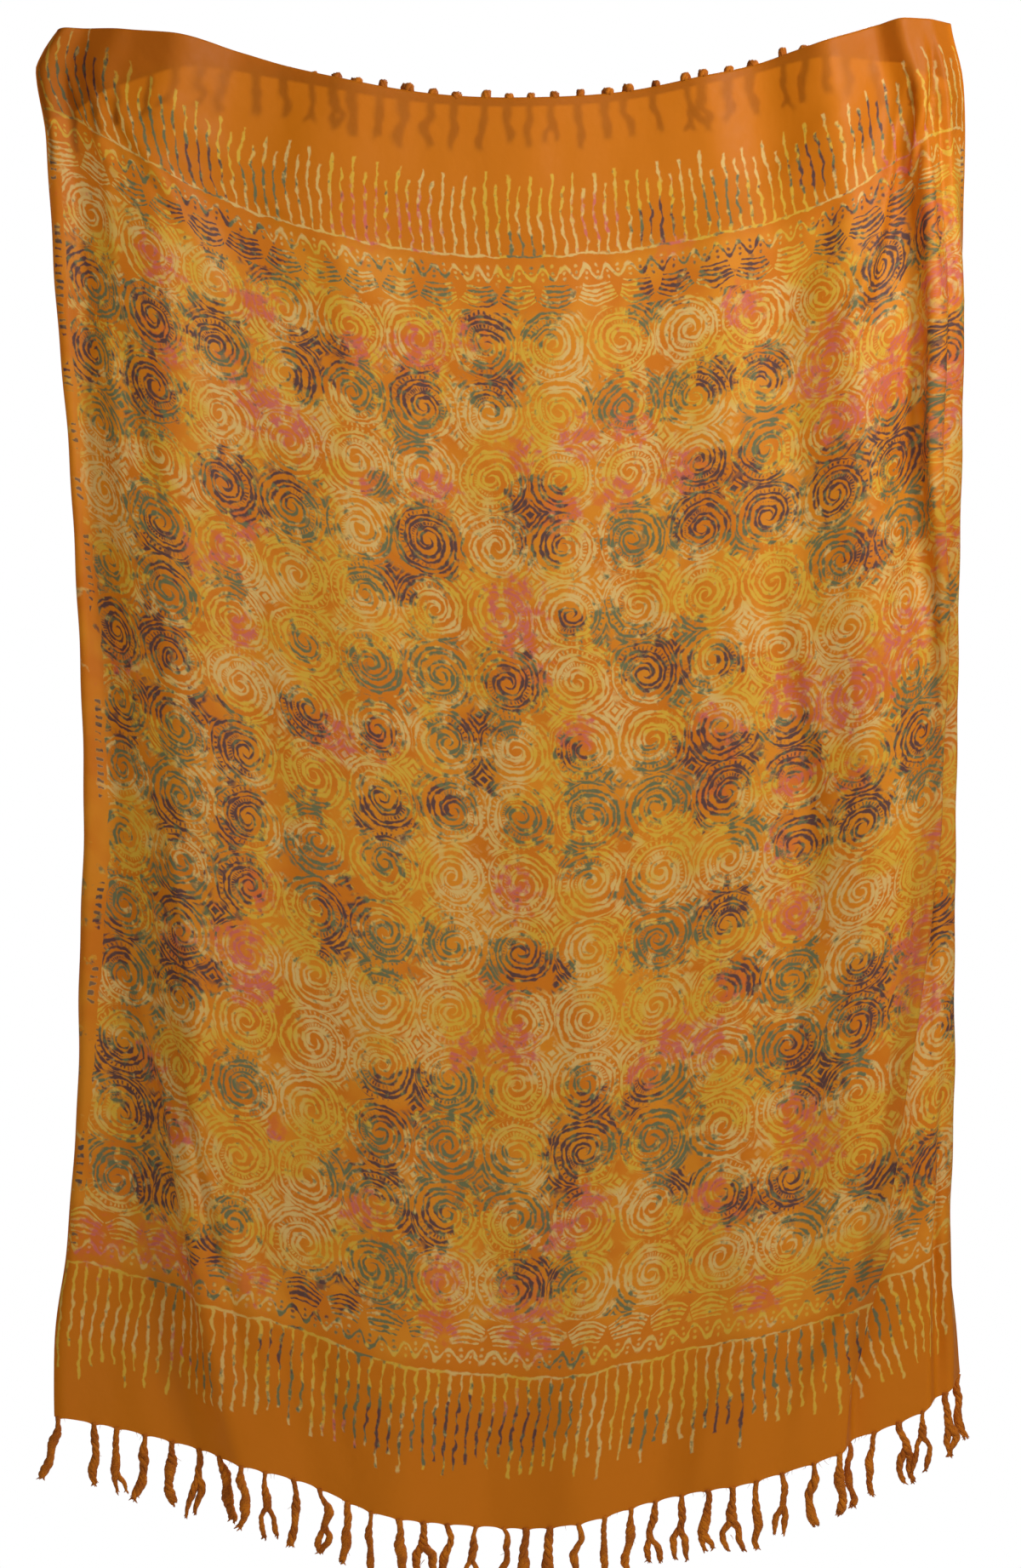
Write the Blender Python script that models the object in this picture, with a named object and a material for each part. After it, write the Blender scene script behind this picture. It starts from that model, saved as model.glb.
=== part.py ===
"""Batik sarong: one rectangular rayon cloth with knotted fringe at both ends,
hung by its two top corners.

The cloth is a single wall. Its shape is worked out from the flat cloth: every
level of the hanging cloth is one horizontal section, and that section is the
running sum of the direction in which the cloth leads from the left selvage to
the right one. Stretches that lean towards the front or the back make ridges,
troughs and overlapping folds, and the length across the cloth is kept.

Tables are in millimetres and degrees, and the model is in metres.
X runs to the right of the cloth's face, -Y is its front, Z is up. The origin
is the middle of the line between the two held corners.
"""
from collections import namedtuple

import bpy
import numpy as np

MM = 0.001

# Flat cloth
CLOTH_WIDTH = 1165.0
CLOTH_LENGTH = 1680.0
WALL = 1.5

# Fringe
FRINGE_REACH = 76.0
TOP_FRINGE_REACH = 62.0
FRINGE_WALL = 2.0
SEAM_GAP = 1.2

# Turn of the top edge over the back
BEND_RADIUS = 3.2
LEAST_TURN = 5.0

# Mesh density
COLUMNS = 54
FACE_ROWS = 26
TURN_ROWS = 2
BEND_STEPS = 3
FRINGE_ROWS = 2
TOP_LEVEL = 60.0
FLAT_SPACING = 60.0
TURN_PER_COLUMN = 38.0
BEND_SAMPLES = 1600
DIRECTION_REACH = 1.5

# Levels down the cloth, as shares of its length, at which the folds are given
LEVELS = (0.0, 0.12, 0.3, 0.5, 0.7, 0.85, 1.0)

# Each row is a stretch of cloth that leans: where its middle lies across the
# cloth at each level, how wide it is, how long its soft ends are, and its lean
# at each level (negative comes forward on the way to the right).
Stretch = namedtuple("Stretch", "name centre width ends lean")
STRETCHES = (
    Stretch("left_roll", (-2, -2, -2, -4, -6, -6, -6), 30, 24,
            (-30, -58, -98, -95, -80, -80, -50)),
    Stretch("left_trough_in", (30, 30, 34, 28, 26, 28, 30), 24, 16,
            (10, 22, 40, 34, 16, 10, 6)),
    Stretch("left_trough_out", (66, 68, 70, 66, 72, 90, 90), 40, 26,
            (-22, -34, -48, -38, -24, -14, -8)),
    Stretch("left_panel_edge", (130, 130, 124, 112, 124, 150, 205), 56, 30,
            (-16, -18, -16, -26, -40, -56, -34)),
    Stretch("left_panel_back", (200, 200, 205, 205, 215, 235, 290), 70, 50,
            (26, 24, 18, 20, 18, 12, 14)),
    Stretch("ridge_1_rise", (330, 330, 320, 320, 330, 350, 370), 90, 60,
            (-14, -12, -7, -9, -9, -10, -14)),
    Stretch("ridge_1_fall", (430, 430, 430, 420, 440, 460, 480), 90, 60,
            (8, 8, 7, 9, 11, 12, 17)),
    Stretch("ridge_2_rise", (560, 560, 560, 550, 560, 580, 600), 90, 60,
            (-4, -4, -6, -8, -7, -8, -14)),
    Stretch("ridge_2_fall", (670, 670, 665, 655, 670, 690, 700), 90, 60,
            (6, 6, 6, 8, 8, 10, 15)),
    Stretch("ridge_3_rise", (790, 790, 780, 770, 770, 790, 800), 80, 60,
            (-12, -10, -8, -8, -9, -12, -18)),
    Stretch("ridge_3_fall", (860, 860, 850, 838, 835, 850, 870), 60, 40,
            (14, 12, 10, 12, 12, 14, 16)),
    Stretch("right_ridge_rise", (950, 945, 930, 915, 905, 905, 915), 76, 44,
            (-26, -26, -26, -28, -20, -12, -10)),
    Stretch("right_ridge_fall", (1025, 1022, 1018, 1018, 980, 935, 945), 62, 36,
            (26, 30, 40, 40, 18, 8, 12)),
    Stretch("right_groove", (1074, 1074, 1074, 1062, 1050, 1030, 1030), 26, 16,
            (-34, -40, -44, -10, 0, 0, 0)),
    Stretch("right_overlap", (1108, 1106, 1104, 1074, 1036, 992, 985), 30, 16,
            (26, 34, 44, 150, 168, 160, 68)),
    Stretch("right_strip_edge", (1118, 1118, 1118, 1116, 1112, 1100, 1100), 18, 14,
            (0, 0, 0, 0, 20, 96, 60)),
    Stretch("right_roll", (1150, 1150, 1150, 1150, 1150, 1150, 1150), 44, 20,
            (30, 60, 104, 110, 104, 96, 70)),
)

# Outline of the hanging cloth: distance down the cloth, left edge, right edge
Outline = namedtuple("Outline", "down left right")
OUTLINES = (
    Outline(0, -520, 516),
    Outline(70, -529, 524),
    Outline(120, -549, 536),
    Outline(225, -540, 539),
    Outline(385, -528, 539),
    Outline(525, -518, 538),
    Outline(685, -507, 536),
    Outline(905, -497, 533),
    Outline(1175, -501, 529),
    Outline(1300, -505, 525),
    Outline(1405, -513, 521),
    Outline(1490, -519, 522),
    Outline(1600, -530, 530),
    Outline(1680, -528, 530),
)

# Heights of the top fold line and of the bottom hem, across the cloth, and how
# much of the top is turned over the back there
Level = namedtuple("Level", "across top turned hem")
HEIGHTS = (
    Level(0, -3, 98, -1636),
    Level(40, -4, 88, -1643),
    Level(110, -8, 53, -1657),
    Level(190, -17, 21, -1677),
    Level(240, -29, 12, -1689),
    Level(300, -45, 6, -1706),
    Level(390, -64, 3, -1740),
    Level(480, -76, 1, -1757),
    Level(580, -82, 0, -1764),
    Level(720, -76, 0, -1738),
    Level(790, -66, 0, -1721),
    Level(870, -51, 0, -1705),
    Level(940, -34, 2, -1684),
    Level(990, -22, 9, -1667),
    Level(1030, -11, 20, -1654),
    Level(1070, -1, 37, -1638),
    Level(1120, 3, 56, -1612),
    Level(1165, 0, 62, -1592),
)

FACE_COLOUR = (0.58, 0.19, 0.015, 1.0)
FRINGE_COLOUR = (0.33, 0.09, 0.008, 1.0)


def smooth_table(at, places, values):
    """Read a table between its rows with a curve that has no corners."""
    places = np.asarray(places, float)
    values = np.asarray(values, float)
    slopes = np.gradient(values, places)
    at = np.clip(at, places[0], places[-1])
    row = np.clip(np.searchsorted(places, at, side="right") - 1, 0, len(places) - 2)
    span = places[row + 1] - places[row]
    u = (at - places[row]) / span
    start = (1 + 2 * u) * (1 - u) ** 2 * values[row]
    start = start + u * (1 - u) ** 2 * span * slopes[row]
    end = u * u * (3 - 2 * u) * values[row + 1]
    end = end + u * u * (u - 1) * span * slopes[row + 1]
    return start + end


def soft_step(u):
    """Rise from 0 to 1 while u goes from -1/2 to 1/2."""
    u = np.clip(u + 0.5, 0.0, 1.0)
    return u * u * (3 - 2 * u)


def lead(across, down):
    """Direction of the cloth, in radians, across one level."""
    level = down / CLOTH_LENGTH
    total = np.zeros_like(across)
    for stretch in STRETCHES:
        centre = smooth_table(level, LEVELS, stretch.centre)
        lean = smooth_table(level, LEVELS, stretch.lean)
        rise = soft_step((across - centre + stretch.width / 2) / stretch.ends)
        fall = soft_step((across - centre - stretch.width / 2) / stretch.ends)
        total += np.radians(lean) * (rise - fall)
    return total


class Drape:
    """Plan of the cloth at every level, looked up by place on the flat cloth."""

    def __init__(self, across_steps, level_steps):
        self.across = np.linspace(0.0, CLOTH_WIDTH, across_steps + 1)
        self.down = np.linspace(0.0, CLOTH_LENGTH, level_steps + 1)
        rows = [self.section(down) for down in self.down]
        self.x = np.array([row[0] for row in rows])
        self.y = np.array([row[1] for row in rows])

    def section(self, down):
        """One level: x and y along the cloth from selvage to selvage."""
        step = self.across[1]
        middles = self.across[:-1] + step / 2
        angle = lead(middles, down)
        x = np.concatenate(([0.0], np.cumsum(np.cos(angle) * step)))
        y = np.concatenate(([0.0], np.cumsum(np.sin(angle) * step)))
        places = [outline.down for outline in OUTLINES]
        left = smooth_table(down, places, [outline.left for outline in OUTLINES])
        right = smooth_table(down, places, [outline.right for outline in OUTLINES])
        fit = (right - left) / (x.max() - x.min())
        x = left + (x - x.min()) * fit
        middle = np.interp(CLOTH_WIDTH / 2, self.across, y)
        return x, y - middle

    def plan(self, across, down):
        """x and y of a place on the cloth."""
        i = np.clip(down / self.down[1], 0, len(self.down) - 1.001)
        j = np.clip(across / self.across[1], 0, len(self.across) - 1.001)
        i0 = i.astype(int)
        j0 = j.astype(int)
        di = i - i0
        dj = j - j0
        found = []
        for table in (self.x, self.y):
            upper = table[i0, j0] * (1 - dj) + table[i0, j0 + 1] * dj
            lower = table[i0 + 1, j0] * (1 - dj) + table[i0 + 1, j0 + 1] * dj
            found.append(upper * (1 - di) + lower * di)
        return found

    def backward(self, across, down):
        """Unit plan direction from the cloth's face through to its back."""
        x0, y0 = self.plan(np.maximum(across - DIRECTION_REACH, 0), down)
        x1, y1 = self.plan(np.minimum(across + DIRECTION_REACH, CLOTH_WIDTH), down)
        dx = x1 - x0
        dy = y1 - y0
        size = np.hypot(dx, dy)
        return -dy / size, dx / size


def height_at(across, column):
    """Read one column of the table of heights."""
    places = [level.across for level in HEIGHTS]
    values = [getattr(level, column) for level in HEIGHTS]
    return smooth_table(across, places, values)


def turned_at(across):
    """How much of the top is turned over the back."""
    return np.maximum(height_at(across, "turned"), 0.0)


def gathered_columns(count, down):
    """Places across the cloth that lie closer together where it bends."""
    fine = np.linspace(0.0, CLOTH_WIDTH, BEND_SAMPLES)
    bend = np.abs(np.gradient(lead(fine, down), fine))
    weight = 1.0 / FLAT_SPACING + bend / np.radians(TURN_PER_COLUMN)
    total = np.concatenate(([0.0], np.cumsum((weight[1:] + weight[:-1]) / 2)))
    return np.interp(np.linspace(0, total[-1], count + 1), total, fine)


def front_point(drape, across, down):
    """A place on the face of the cloth, below its top fold line."""
    turned = turned_at(across)
    top = height_at(across, "top")
    hem = height_at(across, "hem")
    share = (down - turned) / (CLOTH_LENGTH - turned)
    z = top + (hem - top) * share
    x, y = drape.plan(across, down)
    return np.stack((x, y, z), axis=-1)


def backward_at(drape, across, down):
    """Unit directions from the face through to the back, as points."""
    x, y = drape.backward(across, down)
    return np.stack((x, y, np.zeros_like(x)), axis=-1)


def behind_point(drape, across, drop):
    """A place behind the cloth, a drop below its top fold line."""
    down = turned_at(across) + BEND_RADIUS + drop
    away = backward_at(drape, across, down)
    return front_point(drape, across, down) + away * 2 * BEND_RADIUS


def cloth_rows(drape):
    """Rows of points from the top hem, over the fold line, to the bottom hem."""
    rows = []
    columns = gathered_columns(COLUMNS, TOP_LEVEL)
    turned = turned_at(columns)
    for step in range(TURN_ROWS):
        share = 1.0 - step / TURN_ROWS
        rows.append(behind_point(drape, columns, (turned + LEAST_TURN) * share))

    start = front_point(drape, columns, turned + BEND_RADIUS)
    backward = backward_at(drape, columns, turned + BEND_RADIUS)
    for step in range(BEND_STEPS + 1):
        angle = np.pi * (1.0 - step / (BEND_STEPS + 1))
        reach = BEND_RADIUS * (1 - np.cos(angle))
        rise = BEND_RADIUS * np.sin(angle)
        rows.append(start + backward * reach + np.array((0, 0, rise)))

    for step in range(FACE_ROWS + 1):
        share = step / FACE_ROWS
        columns = gathered_columns(COLUMNS, max(TOP_LEVEL, share * CLOTH_LENGTH))
        first = turned_at(columns) + BEND_RADIUS
        down = first + (CLOTH_LENGTH - first) * share
        rows.append(front_point(drape, columns, down))
    return np.array(rows)


def bottom_fringe_rows(hem):
    """A plain band as long as the fringe, straight down from the bottom hem."""
    drops = np.linspace(SEAM_GAP, SEAM_GAP + FRINGE_REACH, FRINGE_ROWS + 1)
    return np.array([hem - np.array((0, 0, drop)) for drop in drops])


def top_fringe_rows(drape):
    """A plain band as long as the fringe, down the back from the top hem."""
    columns = gathered_columns(COLUMNS, TOP_LEVEL)
    hem = turned_at(columns) + LEAST_TURN + SEAM_GAP
    drops = np.linspace(0, TOP_FRINGE_REACH, FRINGE_ROWS + 1)
    return np.array([behind_point(drape, columns, hem + drop) for drop in drops])


def surface_normals(points):
    """Unit directions that face out of the grid's front."""
    along = np.gradient(points, axis=1)
    below = np.gradient(points, axis=0)
    normal = np.cross(along, below)
    size = np.linalg.norm(normal, axis=-1, keepdims=True)
    return normal / size


def closed_wall(name, points, wall, colour, roughness):
    """Thicken a grid of points into one closed wall and add it as an object."""
    normals = surface_normals(points)
    front = (points + normals * wall / 2) * MM
    back = (points - normals * wall / 2) * MM
    rows, columns = points.shape[:2]
    vertices = np.concatenate((front.reshape(-1, 3), back.reshape(-1, 3)))
    offset = rows * columns

    def vertex(row, column, side):
        return side * offset + row * columns + column

    faces = []
    for row in range(rows - 1):
        for column in range(columns - 1):
            a = (row, column)
            b = (row + 1, column)
            c = (row + 1, column + 1)
            d = (row, column + 1)
            for corners in ((a, b, c), (a, c, d)):
                faces.append([vertex(r, k, 0) for r, k in reversed(corners)])
                faces.append([vertex(r, k, 1) for r, k in corners])
    rim = [(0, c) for c in range(columns - 1)]
    rim += [(r, columns - 1) for r in range(rows - 1)]
    rim += [(rows - 1, c) for c in range(columns - 1, 0, -1)]
    rim += [(r, 0) for r in range(rows - 1, 0, -1)]
    for here, there in zip(rim, rim[1:] + rim[:1]):
        faces.append([vertex(*here, 1), vertex(*there, 1),
                      vertex(*there, 0), vertex(*here, 0)])

    mesh = bpy.data.meshes.new(name)
    mesh.from_pydata(vertices.tolist(), [], faces)
    mesh.validate()
    mesh.shade_smooth()
    solid = bpy.data.objects.new(name, mesh)
    bpy.context.scene.collection.objects.link(solid)
    mesh.materials.append(plain_material(name, colour, roughness))
    return solid


def plain_material(name, colour, roughness):
    """A plain cloth finish."""
    material = bpy.data.materials.new(name)
    material.use_nodes = True
    shader = material.node_tree.nodes["Principled BSDF"]
    shader.inputs["Base Color"].default_value = colour
    shader.inputs["Roughness"].default_value = roughness
    shader.inputs["Metallic"].default_value = 0.0
    return material


def clear_scene():
    """Start from nothing."""
    for leftover in list(bpy.data.objects):
        bpy.data.objects.remove(leftover, do_unlink=True)


def main():
    clear_scene()
    drape = Drape(across_steps=1165, level_steps=84)
    cloth = cloth_rows(drape)
    closed_wall("cloth", cloth, WALL, FACE_COLOUR, 0.5)

    fringe = bottom_fringe_rows(cloth[-1])
    closed_wall("fringe_bottom", fringe, FRINGE_WALL, FRINGE_COLOUR, 0.7)
    closed_wall("fringe_top", top_fringe_rows(drape), FRINGE_WALL, FRINGE_COLOUR, 0.7)


main()
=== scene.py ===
"""Batik sarong hung by its two top corners: the printed cloth with its folds,
and the knotted fringe at both ends.

The cloth is worked out from the flat piece. Every level of the hanging cloth
is one horizontal section, the running sum of the direction in which the cloth
leads from selvage to selvage, so the length across the cloth is kept. Creases
are laid on that form one by one. Tables are in millimetres and degrees of the
flat cloth: across from its left selvage, down from its top hem.
"""
import math
import random
from collections import namedtuple

import bpy
import numpy as np
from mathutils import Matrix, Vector


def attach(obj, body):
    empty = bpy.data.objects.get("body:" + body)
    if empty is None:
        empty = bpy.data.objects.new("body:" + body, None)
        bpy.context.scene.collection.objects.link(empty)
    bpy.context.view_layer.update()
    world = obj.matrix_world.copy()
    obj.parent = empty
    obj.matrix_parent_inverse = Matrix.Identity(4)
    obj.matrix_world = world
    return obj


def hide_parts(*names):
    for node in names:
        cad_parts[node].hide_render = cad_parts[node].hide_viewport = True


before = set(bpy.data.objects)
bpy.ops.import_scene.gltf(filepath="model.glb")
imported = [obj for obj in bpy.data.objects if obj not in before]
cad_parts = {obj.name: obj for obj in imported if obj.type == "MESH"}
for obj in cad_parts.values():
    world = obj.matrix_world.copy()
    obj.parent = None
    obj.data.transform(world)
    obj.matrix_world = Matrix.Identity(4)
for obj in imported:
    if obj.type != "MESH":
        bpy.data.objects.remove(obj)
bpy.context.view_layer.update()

MM = 0.001
FULL_TURN = 2 * math.pi

# Flat cloth
CLOTH_WIDTH = 1165.0
CLOTH_LENGTH = 1680.0

# Turn of the top edge over the back
BEND_RADIUS = 3.2
LEAST_TURN = 5.0

# Levels down the cloth, as shares of its length, at which the folds are given
LEVELS = (0.0, 0.12, 0.3, 0.5, 0.7, 0.85, 1.0)

# Each row is a stretch of cloth that leans: where its middle lies across the
# cloth at each level, how wide it is, how long its soft ends are, and its lean
# at each level (negative comes forward on the way to the right).
Stretch = namedtuple("Stretch", "name centre width ends lean")
STRETCHES = (
    Stretch("left_roll", (-2, -2, -2, -4, -6, -6, -6), 30, 24,
            (-30, -58, -98, -95, -80, -80, -50)),
    Stretch("left_trough_in", (30, 30, 34, 28, 26, 28, 30), 24, 16,
            (10, 22, 40, 34, 16, 10, 6)),
    Stretch("left_trough_out", (66, 68, 70, 66, 72, 90, 90), 40, 26,
            (-22, -34, -48, -38, -24, -14, -8)),
    Stretch("left_panel_edge", (130, 130, 124, 112, 124, 150, 205), 56, 30,
            (-16, -18, -16, -26, -40, -56, -34)),
    Stretch("left_panel_back", (200, 200, 205, 205, 215, 235, 290), 70, 50,
            (26, 24, 18, 20, 18, 12, 14)),
    Stretch("ridge_1_rise", (330, 330, 320, 320, 330, 350, 370), 90, 60,
            (-14, -12, -7, -9, -9, -10, -14)),
    Stretch("ridge_1_fall", (430, 430, 430, 420, 440, 460, 480), 90, 60,
            (8, 8, 7, 9, 11, 12, 17)),
    Stretch("ridge_2_rise", (560, 560, 560, 550, 560, 580, 600), 90, 60,
            (-4, -4, -6, -8, -7, -8, -14)),
    Stretch("ridge_2_fall", (670, 670, 665, 655, 670, 690, 700), 90, 60,
            (6, 6, 6, 8, 8, 10, 15)),
    Stretch("ridge_3_rise", (790, 790, 780, 770, 770, 790, 800), 80, 60,
            (-12, -10, -8, -8, -9, -12, -18)),
    Stretch("ridge_3_fall", (860, 860, 850, 838, 835, 850, 870), 60, 40,
            (14, 12, 10, 12, 12, 14, 16)),
    Stretch("right_ridge_rise", (950, 945, 930, 915, 905, 905, 915), 76, 44,
            (-26, -26, -26, -28, -20, -12, -10)),
    Stretch("right_ridge_fall", (1025, 1022, 1018, 1018, 980, 935, 945), 62, 36,
            (26, 30, 40, 40, 18, 8, 12)),
    Stretch("right_groove", (1074, 1074, 1074, 1062, 1050, 1030, 1030), 26, 16,
            (-34, -40, -44, -10, 0, 0, 0)),
    Stretch("right_overlap", (1108, 1106, 1104, 1074, 1036, 992, 985), 30, 16,
            (26, 34, 44, 150, 168, 160, 68)),
    Stretch("right_strip_edge", (1118, 1118, 1118, 1116, 1112, 1100, 1100), 18, 14,
            (0, 0, 0, 0, 20, 96, 60)),
    Stretch("right_roll", (1150, 1150, 1150, 1150, 1150, 1150, 1150), 44, 20,
            (30, 60, 104, 110, 104, 96, 70)),
)

# Outline of the hanging cloth: distance down the cloth, left edge, right edge
Outline = namedtuple("Outline", "down left right")
OUTLINES = (
    Outline(0, -520, 516),
    Outline(70, -529, 524),
    Outline(120, -549, 536),
    Outline(225, -540, 539),
    Outline(385, -528, 539),
    Outline(525, -518, 538),
    Outline(685, -507, 536),
    Outline(905, -497, 533),
    Outline(1175, -501, 529),
    Outline(1300, -505, 531),
    Outline(1405, -513, 527),
    Outline(1490, -519, 525),
    Outline(1600, -530, 535),
    Outline(1680, -528, 541),
)

# Heights of the top fold line and of the bottom hem, across the cloth, and how
# much of the top is turned over the back there
Level = namedtuple("Level", "across top turned hem")
HEIGHTS = (
    Level(0, -7, 98, -1636),
    Level(40, -7, 88, -1643),
    Level(110, -13, 53, -1657),
    Level(190, -24, 21, -1677),
    Level(240, -36, 12, -1689),
    Level(300, -53, 6, -1706),
    Level(390, -73, 3, -1740),
    Level(480, -85, 1, -1757),
    Level(580, -91, 0, -1764),
    Level(720, -84, 0, -1738),
    Level(790, -74, 0, -1721),
    Level(870, -59, 0, -1705),
    Level(940, -41, 2, -1684),
    Level(990, -29, 9, -1667),
    Level(1030, -17, 20, -1654),
    Level(1070, -4, 37, -1638),
    Level(1120, 1, 56, -1612),
    Level(1165, 0, 62, -1592),
)

# Mesh of the visible cloth. Its columns are FLAT_SPACING apart where it is flat,
# and as close as one to TURN_PER_COLUMN degrees where it bends. Above TOP_LEVEL
# they all stay where they are at that level.
COLUMNS = 378
FACE_ROWS = 232
TURN_ROWS = 12
BEND_STEPS = 5
TOP_LEVEL = 60.0
FLAT_SPACING = 8.0
TURN_PER_COLUMN = 9.0
BEND_SAMPLES = 2400
DIRECTION_REACH = 1.5

# The upper left corner is pulled in at an angle: how far at its top, how far
# down that reaches, and how far it spreads across the cloth
CORNER_CUT = 17.0
CORNER_DROP = 46.0
CORNER_REACH = 34.0

# Each row is one crease: its two ends on the flat cloth, how far its middle
# bows to the side, its half width, and its rise towards the front
Crease = namedtuple("Crease", "name start end bow width rise")
CREASES = (
    Crease("left_corner_long", (78, 110), (300, 470), 26, 17, -4.5),
    Crease("left_corner_steep", (60, 150), (150, 620), -16, 14, 4.0),
    Crease("left_corner_swag", (110, 92), (470, 300), 30, 24, -4.0),
    Crease("left_corner_low", (96, 130), (390, 385), 24, 20, 3.5),
    Crease("left_turn_pull", (40, 128), (118, 240), -8, 9, -4.0),
    Crease("left_turn_ridge", (64, 118), (176, 262), 10, 8, 3.2),
    Crease("right_corner_fold", (1066, 120), (962, 350), 14, 9, -8.0),
    Crease("right_corner_lip", (1086, 110), (988, 380), 12, 8, 6.0),
    Crease("right_double_line", (1136, 52), (1062, 250), 6, 5, 5.0),
    Crease("right_double_shadow", (1122, 52), (1050, 250), 6, 6, -4.0),
    Crease("right_overlap_shadow", (1060, 860), (1012, 1400), 0, 13, -8.0),
    Crease("right_strip_ridge", (1100, 700), (1090, 1420), 0, 9, 5.0),
    Crease("right_pleat_lip", (1066, 130), (1036, 860), 6, 11, 6.0),
    Crease("right_pleat_fold", (1094, 110), (1062, 860), 6, 9, -9.0),
    Crease("right_thin_line", (1122, 80), (1080, 860), 6, 7, 8.0),
    Crease("right_corner_swag", (1060, 70), (760, 300), -30, 26, -4.5),
    Crease("right_corner_low", (1078, 96), (835, 430), -26, 20, 4.0),
    Crease("right_corner_steep", (1128, 130), (1060, 640), 10, 10, -3.5),
    Crease("upper_swag", (300, 92), (880, 96), -22, 30, -2.4),
    Crease("left_panel_fall", (250, 560), (292, 1180), 18, 24, -3.0),
    Crease("left_inner_fall", (392, 760), (352, 1330), -12, 22, 2.6),
    Crease("middle_fall", (508, 520), (536, 1240), 14, 30, -2.6),
    Crease("middle_ridge", (612, 700), (588, 1440), -12, 26, 2.4),
    Crease("middle_right_fall", (716, 480), (752, 1160), 16, 26, -2.8),
    Crease("right_inner_ridge", (842, 560), (884, 1120), 10, 16, 3.4),
    Crease("right_inner_fall", (884, 420), (906, 900), -8, 14, -3.6),
    Crease("left_strip_pull", (96, 900), (182, 1330), 14, 12, -4.0),
    Crease("left_low_sweep", (196, 1380), (318, 1610), 20, 16, -4.0),
    Crease("left_low_ridge", (232, 1420), (372, 1650), 16, 15, 3.6),
    Crease("left_strip_edge", (88, 1130), (252, 1620), 14, 8, 8.0),
    Crease("left_strip_shadow", (66, 1150), (222, 1640), 14, 12, -6.0),
    Crease("left_strip_inner", (150, 1300), (290, 1640), 18, 10, -5.0),
    Crease("right_strip_line", (1116, 1400), (1128, 1690), 0, 7, -5.0),
    Crease("right_low_sweep", (1004, 1390), (900, 1640), -14, 15, -7.0),
    Crease("right_low_ridge", (1040, 1440), (960, 1662), -10, 13, 6.0),
    Crease("right_low_inner", (940, 1470), (838, 1640), -12, 16, 3.4),
    Crease("hem_flute_1", (436, 1500), (424, 1700), 4, 20, -3.4),
    Crease("hem_flute_2", (520, 1540), (528, 1700), 4, 16, 3.0),
    Crease("hem_flute_3", (634, 1500), (646, 1700), -6, 22, -3.2),
    Crease("hem_flute_4", (742, 1530), (730, 1700), 5, 17, 3.6),
    Crease("hem_flute_5", (806, 1500), (792, 1700), -5, 15, -3.0),
)

# Slow waves left all over the limp cloth: length across, length down, turn of
# phase and height of each
Ripple = namedtuple("Ripple", "across down phase rise")
RIPPLES = (
    Ripple(212, 610, 0.4, 0.9),
    Ripple(131, -470, 2.1, 0.7),
    Ripple(86, 390, 4.0, 0.45),
    Ripple(57, -260, 1.2, 0.28),
    Ripple(340, 118, 3.3, 0.5),
)

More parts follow.
